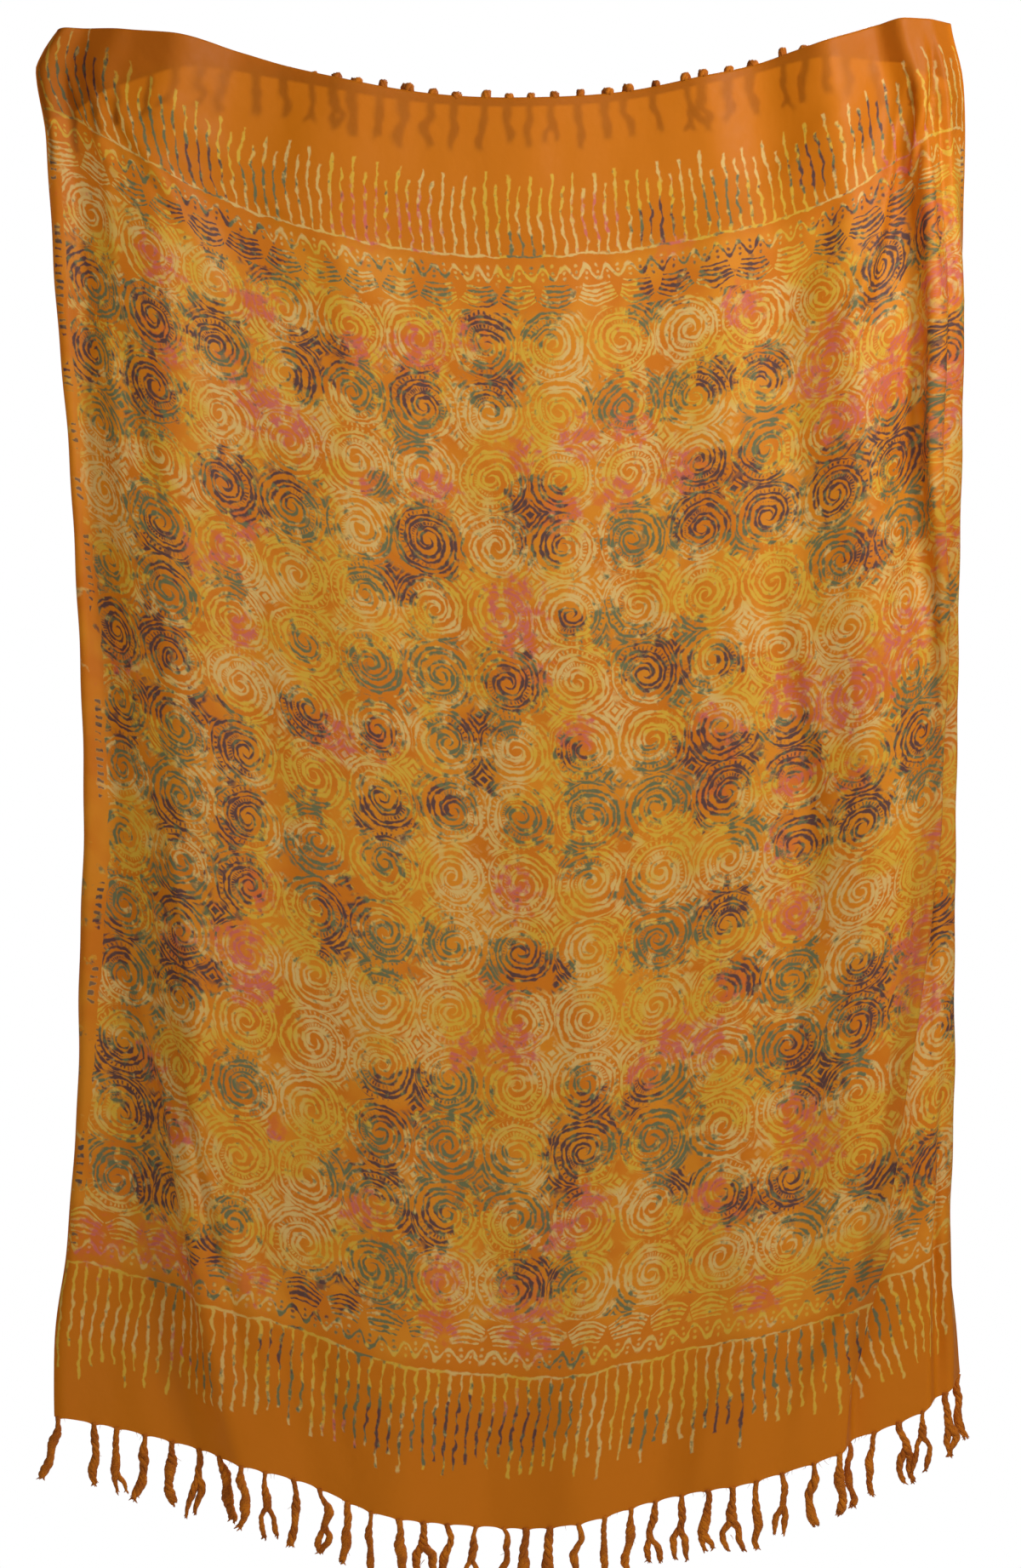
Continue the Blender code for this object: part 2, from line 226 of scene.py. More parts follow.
# Splashes of each dye on the wax lines, as (column, row, reach), all counted in
# tenths of a spiral cell from the upper left corner of the field of spirals
SPLASHES = {
    "teal": (
        (4, -13, 5), (18, -13, 5), (34, -13, 4), (72, -9, 3), (102, -13, 4), (14, -3.5, 4), (23, -5, 2.5),
        (35, -1.5, 4), (44, -2, 3), (50, -4, 2.5), (57, -3.5, 3.8), (76, -2, 3), (97, -4, 2.5),
        (67, -1, 3.5), (130, 0, 4), (123, 9, 3.5), (89, 1, 3), (73, 2, 2.5), (66, 10, 5), (7, 16, 5),
        (14, 14, 4), (26, 14, 5), (47, 14, 4), (53, 16, 5), (53, 20, 3.5), (83, 14, 4.2), (91, 14, 3.5),
        (106, 12, 3), (105, 21, 3.8), (103, 26, 3), (6, 24, 3), (16, 28, 4), (10, 30, 4.5), (7, 33, 4),
        (24, 35, 3.5), (36, 35, 5.5), (49, 28, 2.5), (51, 37, 4), (46, 42, 3.5), (85, 34, 5),
        (90, 35, 3.5), (101, 37, 3.5), (131, 31, 4), (127, 40, 5), (128, 44, 4), (115, 43, 5.5),
        (14, 45, 5), (15, 54, 5), (4, 57, 3), (25, 50, 2.5), (35, 56, 2.5), (46, 57, 5), (55, 54, 5),
        (80, 47, 3.5), (83, 51, 3.5), (92, 50, 3), (90, 58, 3.5), (134, 60, 4), (5, 78, 4.5),
        (5, 84, 3.5), (15, 77, 4), (23, 72, 3), (56, 64, 4), (64, 61, 3), (85, 69, 3), (76, 72, 5),
        (84, 73, 3.5), (89, 73, 4), (66, 76, 3.5), (79, 76, 3), (124, 70, 5), (125, 80, 5), (98, 81, 3),
        (13, 85, 5), (45, 84, 3), (54, 74, 4.5), (34, 89, 5), (34, 80, 2.5), (81, 87, 2.5), (73, 81, 3),
        (3, 94, 3), (3, 105, 5), (7, 112, 5.5), (14, 100, 6), (45, 98, 5), (53, 95, 3.5), (63, 97, 4.5),
        (85, 95, 5), (91, 94, 3.5), (104, 105, 4.5), (107, 102, 3), (113, 111, 3.5), (102, 115, 4.5),
        (107, 117, 6), (74, 114, 2.2), (8, 120, 3.5), (24, 124, 4.8), (45, 119, 4), (56, 118, 5),
        (87, 119, 5), (86, 123, 5.5), (79, 124, 3), (114, 121, 3.5), (45, 126, 4), (55, 130, 5.5),
        (61, 129, 4.5), (54, 124, 3.5), (40, 133, 3.5), (50, 135, 3), (89, 129, 5), (68, 134, 3),
        (3, 143, 4.5), (10, 141, 4.5), (47, 144, 5.5), (25, 144, 3), (72, 143, 3), (108, 142, 3.5),
        (116, 139, 3), (81, 149, 2.2), (112, 152, 3.5), (116, 154, 3.5), (73, 156, 3), (130, 150, 3),
        (48, 152, 3.5), (34, 156, 3), (44, 156, 3.5), (21, 153, 3.5), (14, 158, 2.5), (45, 167, 5),
        (55, 168, 5), (72, 164, 4.5), (22, 168, 3), (34, 168, 3), (87, 169, 3), (105, 163, 4.5),
        (113, 162, 3.5), (126, 164, 3),
    ),
    "plum": (
        (6, -16, 3.5), (24, -12, 3.5), (92, -12, 3), (116, -14, 3.5), (126, -16, 3.5), (26, -2.5, 4.2),
        (31, -2, 4), (21, -3, 3), (92, -3, 3.5), (101, -3, 3.5), (105, -4, 3), (119, -3, 4), (125, -2, 5),
        (127, 2, 5), (125, 6, 5), (131, 5, 3.5), (66, 1.5, 3.5), (2, 13, 3.5), (15, 15, 4.2),
        (24, 12, 3.8), (39, 11, 4), (42, 10, 3), (38, 15, 2.8), (54, 13, 3.8), (66, 11, 3), (98, 13, 3),
        (106, 13, 3), (2, 26, 3.8), (14, 25, 4.5), (135, 22, 3.5), (27, 35, 4.8), (34, 32, 3),
        (55, 36, 4.8), (54, 33, 3.5), (71, 29, 4.2), (72, 34, 3.2), (97, 27, 3.5), (101, 28, 3.2),
        (95, 33, 4.5), (105, 33, 4.5), (116, 33, 5.2), (123, 30, 3), (126, 31, 4), (129, 36, 3.5),
        (50, 42, 3), (15, 49, 4), (119, 45, 3.5), (75, 46, 2), (87, 54, 4.5), (97, 55, 2.2),
        (66, 55, 4.2), (5, 65, 5), (13, 63, 4.2), (11, 72, 3.2), (20, 71, 3.2), (23, 75, 4),
        (34, 67, 3.2), (45, 66, 2.5), (59, 62, 3), (60, 69, 2.5), (73, 65, 2), (92, 68, 4), (95, 71, 4.2),
        (98, 69, 3), (105, 70, 4), (5, 79, 3.2), (24, 83, 3.5), (22, 88, 2.8), (45, 78, 4.2),
        (53, 74, 2.8), (93, 76, 3), (123, 75, 4.2), (115, 82, 4.5), (106, 83, 3.8), (13, 89, 3),
        (23, 94, 3.8), (21, 99, 2.8), (39, 93, 3.6), (38, 99, 2.8), (95, 92, 3.5), (66, 97, 3.5),
        (70, 98, 2.5), (14, 101, 3.2), (3, 111, 3.8), (15, 110, 4.6), (19, 110, 3), (98, 103, 3),
        (117, 109, 4.2), (117, 114, 4.2), (135, 109, 3.8), (47, 120, 4.5), (50, 117, 2.8),
        (107, 117, 3.6), (110, 121, 3.5), (1, 128, 3.5), (6, 129, 4.6), (9, 133, 4.6), (76, 120, 3.8),
        (73, 124, 3.8), (83, 119, 2.8), (45, 131, 3), (52, 137, 3.6), (72, 130, 2.8), (139, 124, 3),
        (89, 132, 2.2), (98, 137, 3.2), (104, 137, 3.5), (118, 139, 3.5), (11, 144, 4.2), (68, 143, 3.8),
        (132, 143, 3.8), (36, 153, 3.6), (41, 150, 3.2), (21, 150, 2.8), (32, 162, 2.5), (47, 168, 3),
        (60, 167, 5), (68, 166, 3.5), (99, 170, 4.2), (118, 165, 3),
    ),
    "rose": (
        (48, -12, 5), (56, -13, 4.5), (83, -13, 4), (94, -8, 3), (130, -9, 4.5), (16, 6, 3.5),
        (31, 5.5, 3.5), (55, 7, 4.5), (46, 8, 3), (63, 3, 3), (134, 4, 4), (103, 3, 3.5), (17, 18, 3.8),
        (28, 16, 3.5), (31, 21, 4.5), (36, 23, 3.5), (69, 21, 2.8), (56, 27, 3.6), (47, 28, 2.5),
        (78, 19, 3.5), (85, 18, 3.5), (116, 12, 4.2), (113, 17, 3.8), (117, 24, 4.5), (124, 23, 5.5),
        (127, 19, 4.2), (93, 26, 4.2), (83, 28, 3.5), (75, 30, 3.5), (28, 40, 3), (24, 46, 3.2),
        (19, 48, 3), (67, 43, 4.8), (67, 48, 4.2), (26, 57, 3), (69, 54, 3), (124, 60, 5), (118, 63, 5),
        (112, 66, 4.5), (106, 62, 4.8), (93, 64, 3), (74, 63, 3.5), (38, 68, 4), (45, 67, 2.5),
        (6, 69, 3), (96, 67, 3), (105, 74, 4.2), (93, 74, 3), (103, 84, 3), (114, 78, 3), (64, 86, 3.6),
        (26, 95, 3), (105, 95, 4.2), (23, 104, 5), (26, 109, 4.2), (14, 107, 3.6), (62, 102, 3.4),
        (64, 109, 4), (96, 104, 3), (124, 106, 5), (123, 112, 4), (88, 111, 4), (93, 112, 3.4),
        (84, 115, 3), (57, 111, 3), (9, 126, 3.2), (15, 134, 3), (107, 125, 3.8), (108, 131, 4.5),
        (133, 120, 4), (43, 137, 3.5), (75, 133, 3.6), (71, 137, 3.2), (93, 135, 3.2), (96, 138, 3),
        (55, 144, 3.2), (67, 147, 5), (68, 152, 4), (55, 151, 3.4), (12, 153, 4.2), (17, 155, 3.4),
        (28, 153, 3.2), (3, 155, 4.2), (101, 152, 3.4), (16, 167, 2.5), (42, 170, 3.5), (53, 169, 3.5),
        (66, 164, 3.4), (30, 130, 2), (129, 92, 4), (135, 13, 5), (136, 27, 4), (134, 34, 4.5),
        (134, 52, 4),
    ),
}

# A splash of plum has a rim of teal, this many times as wide
RIM = 1.12

# Fringe: the seed of its random numbers, the lengths of its tassels, and how
# far the outermost bottom ones lean out
TASSELS = 37
TASSEL_SEED = 41
BOTTOM_LENGTHS = (67, 75)
TOP_LENGTHS = (38, 50)
LEFT_LEAN = 15.0
RIGHT_LEAN = 6.0
LOOSE_HAIRS = 64

# How a top tassel loops over the folded edge: shares of its length, its rise
# above the hem it is knotted into, and how far it lies in front of the others
NUB_SHARES = (0.0, 0.05, 0.1, 0.15, 0.2, 0.26)
NUB_RISES = (6.0, 12.6, 14.8, 12.0, 5.0, 0.0)
NUB_BACKS = (7.0, 7.6, 5.4, 2.0, 0.0, 0.0)

# The bottom hem is drawn down at each tassel, in a band of this height
HEM_LIFT = 3.4
HEM_BAND = 22.0

# Print. A thin line lies at LINE_REACH above and below FIELD_MIDDLE, and depth
# is counted from it towards the field of spirals, which starts at FIELD_DEPTH
FIELD_MIDDLE = 845.0
LINE_REACH = 657.0
FIELD_DEPTH = 64.5
FAR = 900.0
FIELD_TOP = 253.0
CELL_DOWN = 79.0
CELL_ACROSS = 80.4
MARGIN = 20.0
SELVAGE = 5.0
COIL_PITCH = 14.2
ARM_PHASES = (0.14, 0.52)
RINGS = (43.3, 48.6)
TICKS = 38
ARCH_PITCH = 46.9
MEANDER_LENGTH = 26.0
MEANDER_DEPTH = 20.0
PICKET_PITCH = 13.1

# The unprinted strip at the left selvage, and how much wider it is midway down
LEFT_STRIP = 24.0
STRIP_SWELL = 14.0

# Colours of the dyes, from 0 to 255 as seen
GROUND_LIGHT = (218, 134, 28)
GROUND_DEEP = (210, 118, 20)
GROUND_BAND = (204, 114, 8)
GROUND_ROSE = (214, 96, 52)
WAX_YELLOW = (216, 168, 54)
WAX_BEIGE = (220, 180, 106)
WAX_ROSE = (204, 86, 88)
WAX_TEAL = (98, 106, 74)
WAX_PLUM = (94, 62, 60)
YARN_DARK = (158, 78, 3)
YARN_LIGHT = (206, 116, 10)

# Share of the light that comes through the thin cloth
TRANSLUCENCE = 0.28

# Studio, in metres and watts
FLOOR_LEVEL = -2.2
WORLD_LIGHT = 0.12
CAMERA_LENS = 90.0
CAMERA_PLACE = (0.006, -4.575, -0.893)
Light = namedtuple("Light", "name place target size power")
LIGHTS = (
    Light("key", (1.65, -1.5, 0.6), (0.3, 0.0, -0.5), 0.8, 48.0),
    Light("fill", (-0.7, -3.4, 0.3), (-0.1, 0.0, -0.6), 1.8, 21.0),
    Light("behind", (0.7, 2.3, 1.0), (0.1, 0.0, -0.3), 1.1, 84.0),
)


def smooth_table(at, places, values):
    """Read a table between its rows with a curve that has no corners."""
    places = np.asarray(places, float)
    values = np.asarray(values, float)
    slopes = np.gradient(values, places)
    at = np.clip(at, places[0], places[-1])
    row = np.clip(np.searchsorted(places, at, side="right") - 1, 0, len(places) - 2)
    span = places[row + 1] - places[row]
    u = (at - places[row]) / span
    start = (1 + 2 * u) * (1 - u) ** 2 * values[row]
    start = start + u * (1 - u) ** 2 * span * slopes[row]
    end = u * u * (3 - 2 * u) * values[row + 1]
    end = end + u * u * (u - 1) * span * slopes[row + 1]
    return start + end


def read_rows(rows, key, column, at):
    """Read one column of a table of named rows."""
    places = [getattr(row, key) for row in rows]
    return smooth_table(at, places, [getattr(row, column) for row in rows])


def soft_step(u):
    """Rise from 0 to 1 while u goes from -1/2 to 1/2."""
    u = np.clip(u + 0.5, 0.0, 1.0)
    return u * u * (3 - 2 * u)


def lead(across, down):
    """Direction of the cloth, in radians, across one level."""
    level = down / CLOTH_LENGTH
    total = np.zeros_like(across)
    for stretch in STRETCHES:
        centre = smooth_table(level, LEVELS, stretch.centre)
        lean = smooth_table(level, LEVELS, stretch.lean)
        rise = soft_step((across - centre + stretch.width / 2) / stretch.ends)
        fall = soft_step((across - centre - stretch.width / 2) / stretch.ends)
        total += np.radians(lean) * (rise - fall)
    return total


class Drape:
    """Plan of the cloth at every level, looked up by place on the flat cloth."""

    def __init__(self, across_steps, level_steps):
        self.across = np.linspace(0.0, CLOTH_WIDTH, across_steps + 1)
        self.down = np.linspace(0.0, CLOTH_LENGTH, level_steps + 1)
        rows = [self.section(down) for down in self.down]
        self.x = np.array([row[0] for row in rows])
        self.y = np.array([row[1] for row in rows])

    def section(self, down):
        """One level: x and y along the cloth from selvage to selvage."""
        step = self.across[1]
        middles = self.across[:-1] + step / 2
        angle = lead(middles, down)
        x = np.concatenate(([0.0], np.cumsum(np.cos(angle) * step)))
        y = np.concatenate(([0.0], np.cumsum(np.sin(angle) * step)))
        left = read_rows(OUTLINES, "down", "left", down)
        right = read_rows(OUTLINES, "down", "right", down)
        fit = (right - left) / (x.max() - x.min())
        x = left + (x - x.min()) * fit
        middle = np.interp(CLOTH_WIDTH / 2, self.across, y)
        return x, y - middle

    def plan(self, across, down):
        """x and y of a place on the cloth."""
        i = np.clip(down / self.down[1], 0, len(self.down) - 1.001)
        j = np.clip(across / self.across[1], 0, len(self.across) - 1.001)
        row = i.astype(int)
        column = j.astype(int)
        di = i - row
        dj = j - column
        found = []
        for table in (self.x, self.y):
            upper, lower = (table[k, column] * (1 - dj) + table[k, column + 1] * dj
                            for k in (row, row + 1))
            found.append(upper * (1 - di) + lower * di)
        return found

    def backward(self, across, down):
        """Level unit directions from the cloth's face through to its back."""
        x0, y0 = self.plan(np.maximum(across - DIRECTION_REACH, 0), down)
        x1, y1 = self.plan(np.minimum(across + DIRECTION_REACH, CLOTH_WIDTH), down)
        dx = x1 - x0
        dy = y1 - y0
        away = np.stack((-dy, dx, np.zeros_like(dx)), axis=-1)
        return away / np.hypot(dx, dy)[..., None]


def height_at(across, column):
    """Read one column of the table of heights."""
    return read_rows(HEIGHTS, "across", column, across)


def turned_at(across):
    """How much of the top is turned over the back."""
    return np.maximum(height_at(across, "turned"), 0.0)


def gathered_columns(count, down):
    """Places across the cloth that lie closer together where it bends."""
    fine = np.linspace(0.0, CLOTH_WIDTH, BEND_SAMPLES)
    bend = np.abs(np.gradient(lead(fine, down), fine))
    weight = 1.0 / FLAT_SPACING + bend / np.radians(TURN_PER_COLUMN)
    total = np.concatenate(([0.0], np.cumsum((weight[1:] + weight[:-1]) / 2)))
    return np.interp(np.linspace(0, total[-1], count + 1), total, fine)


def front_point(drape, across, down):
    """A place on the face of the cloth, below its top fold line."""
    turned = turned_at(across)
    top = height_at(across, "top")
    hem = height_at(across, "hem")
    share = (down - turned) / (CLOTH_LENGTH - turned)
    z = top + (hem - top) * share
    x, y = drape.plan(across, down)
    return np.stack((x, y, z), axis=-1)


def behind_point(drape, across, drop):
    """A place behind the cloth, a drop below its top fold line."""
    down = turned_at(across) + BEND_RADIUS + drop
    away = drape.backward(across, down)
    return front_point(drape, across, down) + away * 2 * BEND_RADIUS


def crease_relief(across, down):
    """Rise of the cloth's face towards the front from its creases."""
    rise = np.zeros_like(across)
    for crease in CREASES:
        x0, y0 = crease.start
        x1, y1 = crease.end
        length = math.hypot(x1 - x0, y1 - y0)
        ux = (x1 - x0) / length
        uy = (y1 - y0) / length
        along = (across - x0) * ux + (down - y0) * uy
        share = np.clip(along / length, -0.25, 1.25)
        aside = (across - x0) * uy - (down - y0) * ux
        aside = aside - crease.bow * 4 * share * (1 - share)
        width = crease.width * (0.7 + 0.6 * np.clip(share, 0, 1))
        fade = soft_step((share - 0.08) / 0.34) * soft_step((0.9 - share) / 0.42)
        rise += crease.rise * fade * np.exp(-(aside / width) ** 2)
    for ripple in RIPPLES:
        wave = across / ripple.across + down / ripple.down
        rise += ripple.rise * np.sin(FULL_TURN * wave + ripple.phase)
    return rise


def tassel_places(rng):
    """Places of the tassels across the cloth, a little uneven."""
    pitch = CLOTH_WIDTH / TASSELS
    places = [(k + 0.5) * pitch + rng.uniform(-3.5, 3.5) for k in range(TASSELS)]
    places[0] = 6.0
    places[-1] = CLOTH_WIDTH - 6.0
    return np.array(places)


def hem_pull(across, places):
    """1 where a tassel draws the hem down, 0 halfway between two."""
    near = np.min(np.abs(across[..., None] - places), axis=-1)
    return np.exp(-(near / 4.6) ** 1.3)


def surface_normals(points):
    """Unit directions that face out of the grid's front."""
    along = np.gradient(points, axis=1)
    below = np.gradient(points, axis=0)
    normal = np.cross(along, below)
    return normal / np.linalg.norm(normal, axis=-1, keepdims=True)


def cloth_grid(drape, places):
    """Points of the visible cloth and their places on the flat cloth."""
    rows = []
    flats = []
    columns = gathered_columns(COLUMNS, TOP_LEVEL)
    turned = turned_at(columns)
    for step in range(TURN_ROWS):
        drop = (turned + LEAST_TURN) * (1.0 - step / TURN_ROWS)
        rows.append(behind_point(drape, columns, drop))
        flats.append((columns, turned + LEAST_TURN - drop))
    start = front_point(drape, columns, turned + BEND_RADIUS)
    backward = drape.backward(columns, turned + BEND_RADIUS)
    for step in range(BEND_STEPS + 1):
        angle = np.pi * (1.0 - step / (BEND_STEPS + 1))
        reach = BEND_RADIUS * (1 - np.cos(angle))
        rise = BEND_RADIUS * np.sin(angle)
        rows.append(start + backward * reach + np.array((0, 0, rise)))
        flats.append((columns, turned + LEAST_TURN))
    for step in range(FACE_ROWS + 1):
        share = step / FACE_ROWS
        columns = gathered_columns(COLUMNS, max(TOP_LEVEL, share * CLOTH_LENGTH))
        first = turned_at(columns) + BEND_RADIUS
        down = first + (CLOTH_LENGTH - first) * share
        rows.append(front_point(drape, columns, down))
        flats.append((columns, down))
    points = np.array(rows)
    across = np.array([flat[0] for flat in flats])
    down = np.array([flat[1] for flat in flats])
    behind = TURN_ROWS + BEND_STEPS + 1
    in_front = soft_step((np.arange(len(rows)) - behind - 5) / 10)[:, None]
    relief = crease_relief(across, down) * in_front
    points = points + surface_normals(points) * relief[..., None]
    below = height_at(across.ravel(), "top").reshape(across.shape) - points[..., 2]
    corner = np.clip(1 - below / CORNER_DROP, 0, 1) * np.exp(-across / CORNER_REACH)
    points[..., 0] += CORNER_CUT * corner
    near_hem = np.clip((down - CLOTH_LENGTH + HEM_BAND) / HEM_BAND, 0, 1) ** 2
    points[..., 2] += near_hem * HEM_LIFT * (0.55 - hem_pull(across, places))
    return points, across, down


def new_piece(name, vertices, faces, material):
    """Add a mesh in metres as an object of the scene."""
    mesh = bpy.data.meshes.new(name)
    mesh.from_pydata(vertices, [], faces)
    mesh.validate()
    mesh.shade_smooth()
    mesh.materials.append(material)
    piece = bpy.data.objects.new(name, mesh)
    bpy.context.scene.collection.objects.link(piece)
    return piece


def build_cloth(drape, places, material):
    """The printed cloth as one fine sheet."""
    points, across, down = cloth_grid(drape, places)
    rows, columns = across.shape
    index = np.arange(rows * columns).reshape(rows, columns)
    quads = np.stack((index[:-1, :-1], index[1:, :-1], index[1:, 1:],
                      index[:-1, 1:]), axis=-1).reshape(-1, 4)
    cloth = new_piece("batik_cloth", (points.reshape(-1, 3) * MM).tolist(),
                      quads.tolist(), material)
    mesh = cloth.data
    flat = np.stack((across, down, np.zeros_like(down)), axis=-1)
    add_vectors(mesh, "flat", flat)
    add_vectors(mesh, "dye", dye_strengths(across, down))
    layer = mesh.uv_layers.new(name="OFBake")
    corners = np.empty(len(mesh.loops), dtype=np.int32)
    mesh.loops.foreach_get("vertex_index", corners)
    uv = np.stack((across / CLOTH_WIDTH, 1 - down / CLOTH_LENGTH), axis=-1)
    uv = np.clip(uv.reshape(-1, 2)[corners], 0, 1)
    layer.data.foreach_set("uv", uv.astype(np.float32).ravel())
    return cloth, points


def add_vectors(mesh, name, values):
    """Store one vector for every point of a mesh."""
    layer = mesh.attributes.new(name, "FLOAT_VECTOR", "POINT")
    layer.data.foreach_set("vector", values.astype(np.float32).ravel())


def dye_strengths(across, down):
    """Teal, plum and rose dye at every point, each from 0 to 1."""
    column = (across - MARGIN) / CELL_ACROSS
    row = (down - FIELD_TOP) / CELL_DOWN
    found = {dye: np.zeros_like(across) for dye in SPLASHES}

    def splash(dye, x, y, reach):
        away = ((column - x) ** 2 + (row - y) ** 2) / reach ** 2
        found[dye] = np.maximum(found[dye], np.exp(-0.7 * away ** 1.4))

    for dye, places in SPLASHES.items():
        for place in places:
            x, y, reach = (value / 10 for value in place)
            splash(dye, x, y, reach)
            if dye == "plum":
                splash("teal", x, y, reach * RIM)
    return np.stack([found[dye] for dye in SPLASHES], axis=-1)


class Threads:
    """Collects round threads into one mesh."""

    def __init__(self):
        self.vertices = []
        self.faces = []

    def tube(self, points, radii, sides, flatness=1.0):
        """One closed thread along points, with its own radius at each."""
        points = np.asarray(points, float)
        along = np.gradient(points, axis=0)
        along /= np.linalg.norm(along, axis=1, keepdims=True) + 1e-9
        side = np.array((1.0, 0.0, 0.0)) - along * along[:, :1]
        side /= np.linalg.norm(side, axis=1, keepdims=True) + 1e-9
        depth = np.cross(along, side)
        turn = np.arange(sides) * FULL_TURN / sides
        ring = (side[:, None] * np.cos(turn)[None, :, None]
                + depth[:, None] * np.sin(turn)[None, :, None] * flatness)
        ring = points[:, None] + ring * np.asarray(radii)[:, None, None]
        start = len(self.vertices)
        self.vertices.extend((ring.reshape(-1, 3) * MM).tolist())
        for row in range(len(points) - 1):
            for k in range(sides):
                here = start + row * sides + k
                there = start + row * sides + (k + 1) % sides
                self.faces.append((here, there, there + sides, here + sides))
        last = start + (len(points) - 1) * sides
        self.faces.append(tuple(range(start + sides - 1, start - 1, -1)))
        self.faces.append(tuple(range(last, last + sides)))


def wander(rng, share, size, turns):
    """A smooth crooked path to the side, 0 at its start."""
    total = np.zeros_like(share)
    for turn in range(1, turns + 1):
        phase = rng.uniform(0, FULL_TURN)
        wave = np.sin(math.pi * turn * share * 1.3 + phase) - math.sin(phase)
        total += wave * size * rng.uniform(0.4, 1.0) / turn
    return total


def tassel(threads, rng, path, width, steps, parted, neck, plies):
    """A bundle of plies twisted along a path, with frayed ends.

    path gives points for shares from 0 to 1. parted is the share from which
    its two halves separate, and above 1 they stay together. neck is how thick
    it is at its knot, as a share of its width.
    """
    share = np.linspace(0, 1, steps)
    centre = path(share)
    swell = neck + (1 - neck) * soft_step((share - 0.2) / 0.3)
    lumps = 1 + 0.16 * np.sin(share * rng.uniform(9, 15) + rng.uniform(0, 6))
    radius = width * swell * lumps
    radius *= 1 - rng.uniform(0.0, 0.45) * soft_step((share - 0.9) / 0.22)
    gap = soft_step((share - parted) / 0.22 - 0.5) * width * rng.uniform(0.9, 1.7)
    if rng.random() < 0.4:
        gap *= 1 - soft_step((share - parted - 0.34) / 0.2)
    twist = rng.uniform(2.2, 3.4) * rng.choice((-1, 1))
    tips = []
    for ply in range(plies):
        half = 1 if ply % 2 else -1
        phase = FULL_TURN * ply / plies
        turn = phase + twist * FULL_TURN * share * (0.9 if half > 0 else 1.1)
        close = 0.52 - 0.22 * np.clip(gap / width, 0, 1)
        points = centre.copy()
        points[:, 0] += radius * close * np.cos(turn) + half * gap
        points[:, 1] += radius * close * 0.7 * np.sin(turn)
        reach = rng.uniform(0.93, 1.0)
        keep = max(4, int(round(steps * reach)))
        sizes = radius * (0.5 + 0.05 * math.sin(ply * 2.3))
        threads.tube(points[:keep], sizes[:keep], 6, 0.85)
        tips.append((points[keep - 1], points[keep - 1] - points[keep - 3]))
    for tip, way in tips:
        way = way / (np.linalg.norm(way) + 1e-9)
        for _ in range(3):
            length = rng.uniform(2.5, 6.5)
            lean = np.array((rng.uniform(-0.6, 0.6), rng.uniform(-0.4, 0.4), 0))
            t = np.linspace(0, 1, 4)[:, None]
            hair = tip - way * 1.5 + (way * t + lean * t * t) * length
            threads.tube(hair, width * np.array((0.26, 0.22, 0.16, 0.06)), 4)


def loose_hair(threads, rng, start, way, length, thickness):
    """One thin loose thread."""
    t = np.linspace(0, 1, 5)
    curl = rng.uniform(-0.5, 0.5)
    points = start + np.outer(t, way) * length
    points[:, 0] += curl * length * t * t
    points[:, 1] += rng.uniform(-0.3, 0.3) * length * t * t
    threads.tube(points, thickness * (1.1 - 0.8 * t), 3)


def point_on(hem, hem_across, place):
    """Point of the hem at a place across the cloth."""
    return np.array([np.interp(place, hem_across, hem[:, k]) for k in range(3)])


def build_bottom_fringe(places, hem, hem_across, material):
    """Tassels knotted into the bottom hem."""
    rng = random.Random(TASSEL_SEED)
    threads = Threads()
    for place in places:
        root = point_on(hem, hem_across, place)
        length = rng.uniform(*BOTTOM_LENGTHS)
        aside = (place / CLOTH_WIDTH - 0.5) * 2
        outward = (RIGHT_LEAN if aside > 0 else LEFT_LEAN) * aside ** 9
        crook = rng.uniform(1.6, 5.4)
        seed = rng.random()

        def path(share):
            bend = random.Random(seed)
            hook = bend.uniform(-9.0, 9.0) * soft_step((share - 0.86) / 0.4)
            x = wander(bend, share, crook, 4) + outward * share + hook
            y = wander(bend, share, 1.6, 2)
            return root + np.stack((x, y, 3.0 - share * (length + 3.0)), axis=-1)

        parted = rng.uniform(0.35, 0.75) if rng.random() < 0.42 else 2.0
        tassel(threads, rng, path, rng.uniform(4.2, 6.6), 34, parted, 0.6, 6)
        if rng.random() < 0.35:
            part = path(np.array((rng.uniform(0.2, 0.8),)))[0]
            way = np.array((rng.choice((-0.7, 0.7)), 0.1, -0.7))
            loose_hair(threads, rng, part, way, rng.uniform(6, 15), 0.45)
    for _ in range(LOOSE_HAIRS):
        place = rng.uniform(8, CLOTH_WIDTH - 8)
        root = point_on(hem, hem_across, place)
        way = np.array((rng.uniform(-0.5, 0.5), 0.0, -1.0))
        loose_hair(threads, rng, root + (0, 0, 0.6), way, rng.uniform(2, 7), 0.3)
    return new_piece("bottom_tassels", threads.vertices, threads.faces, material)


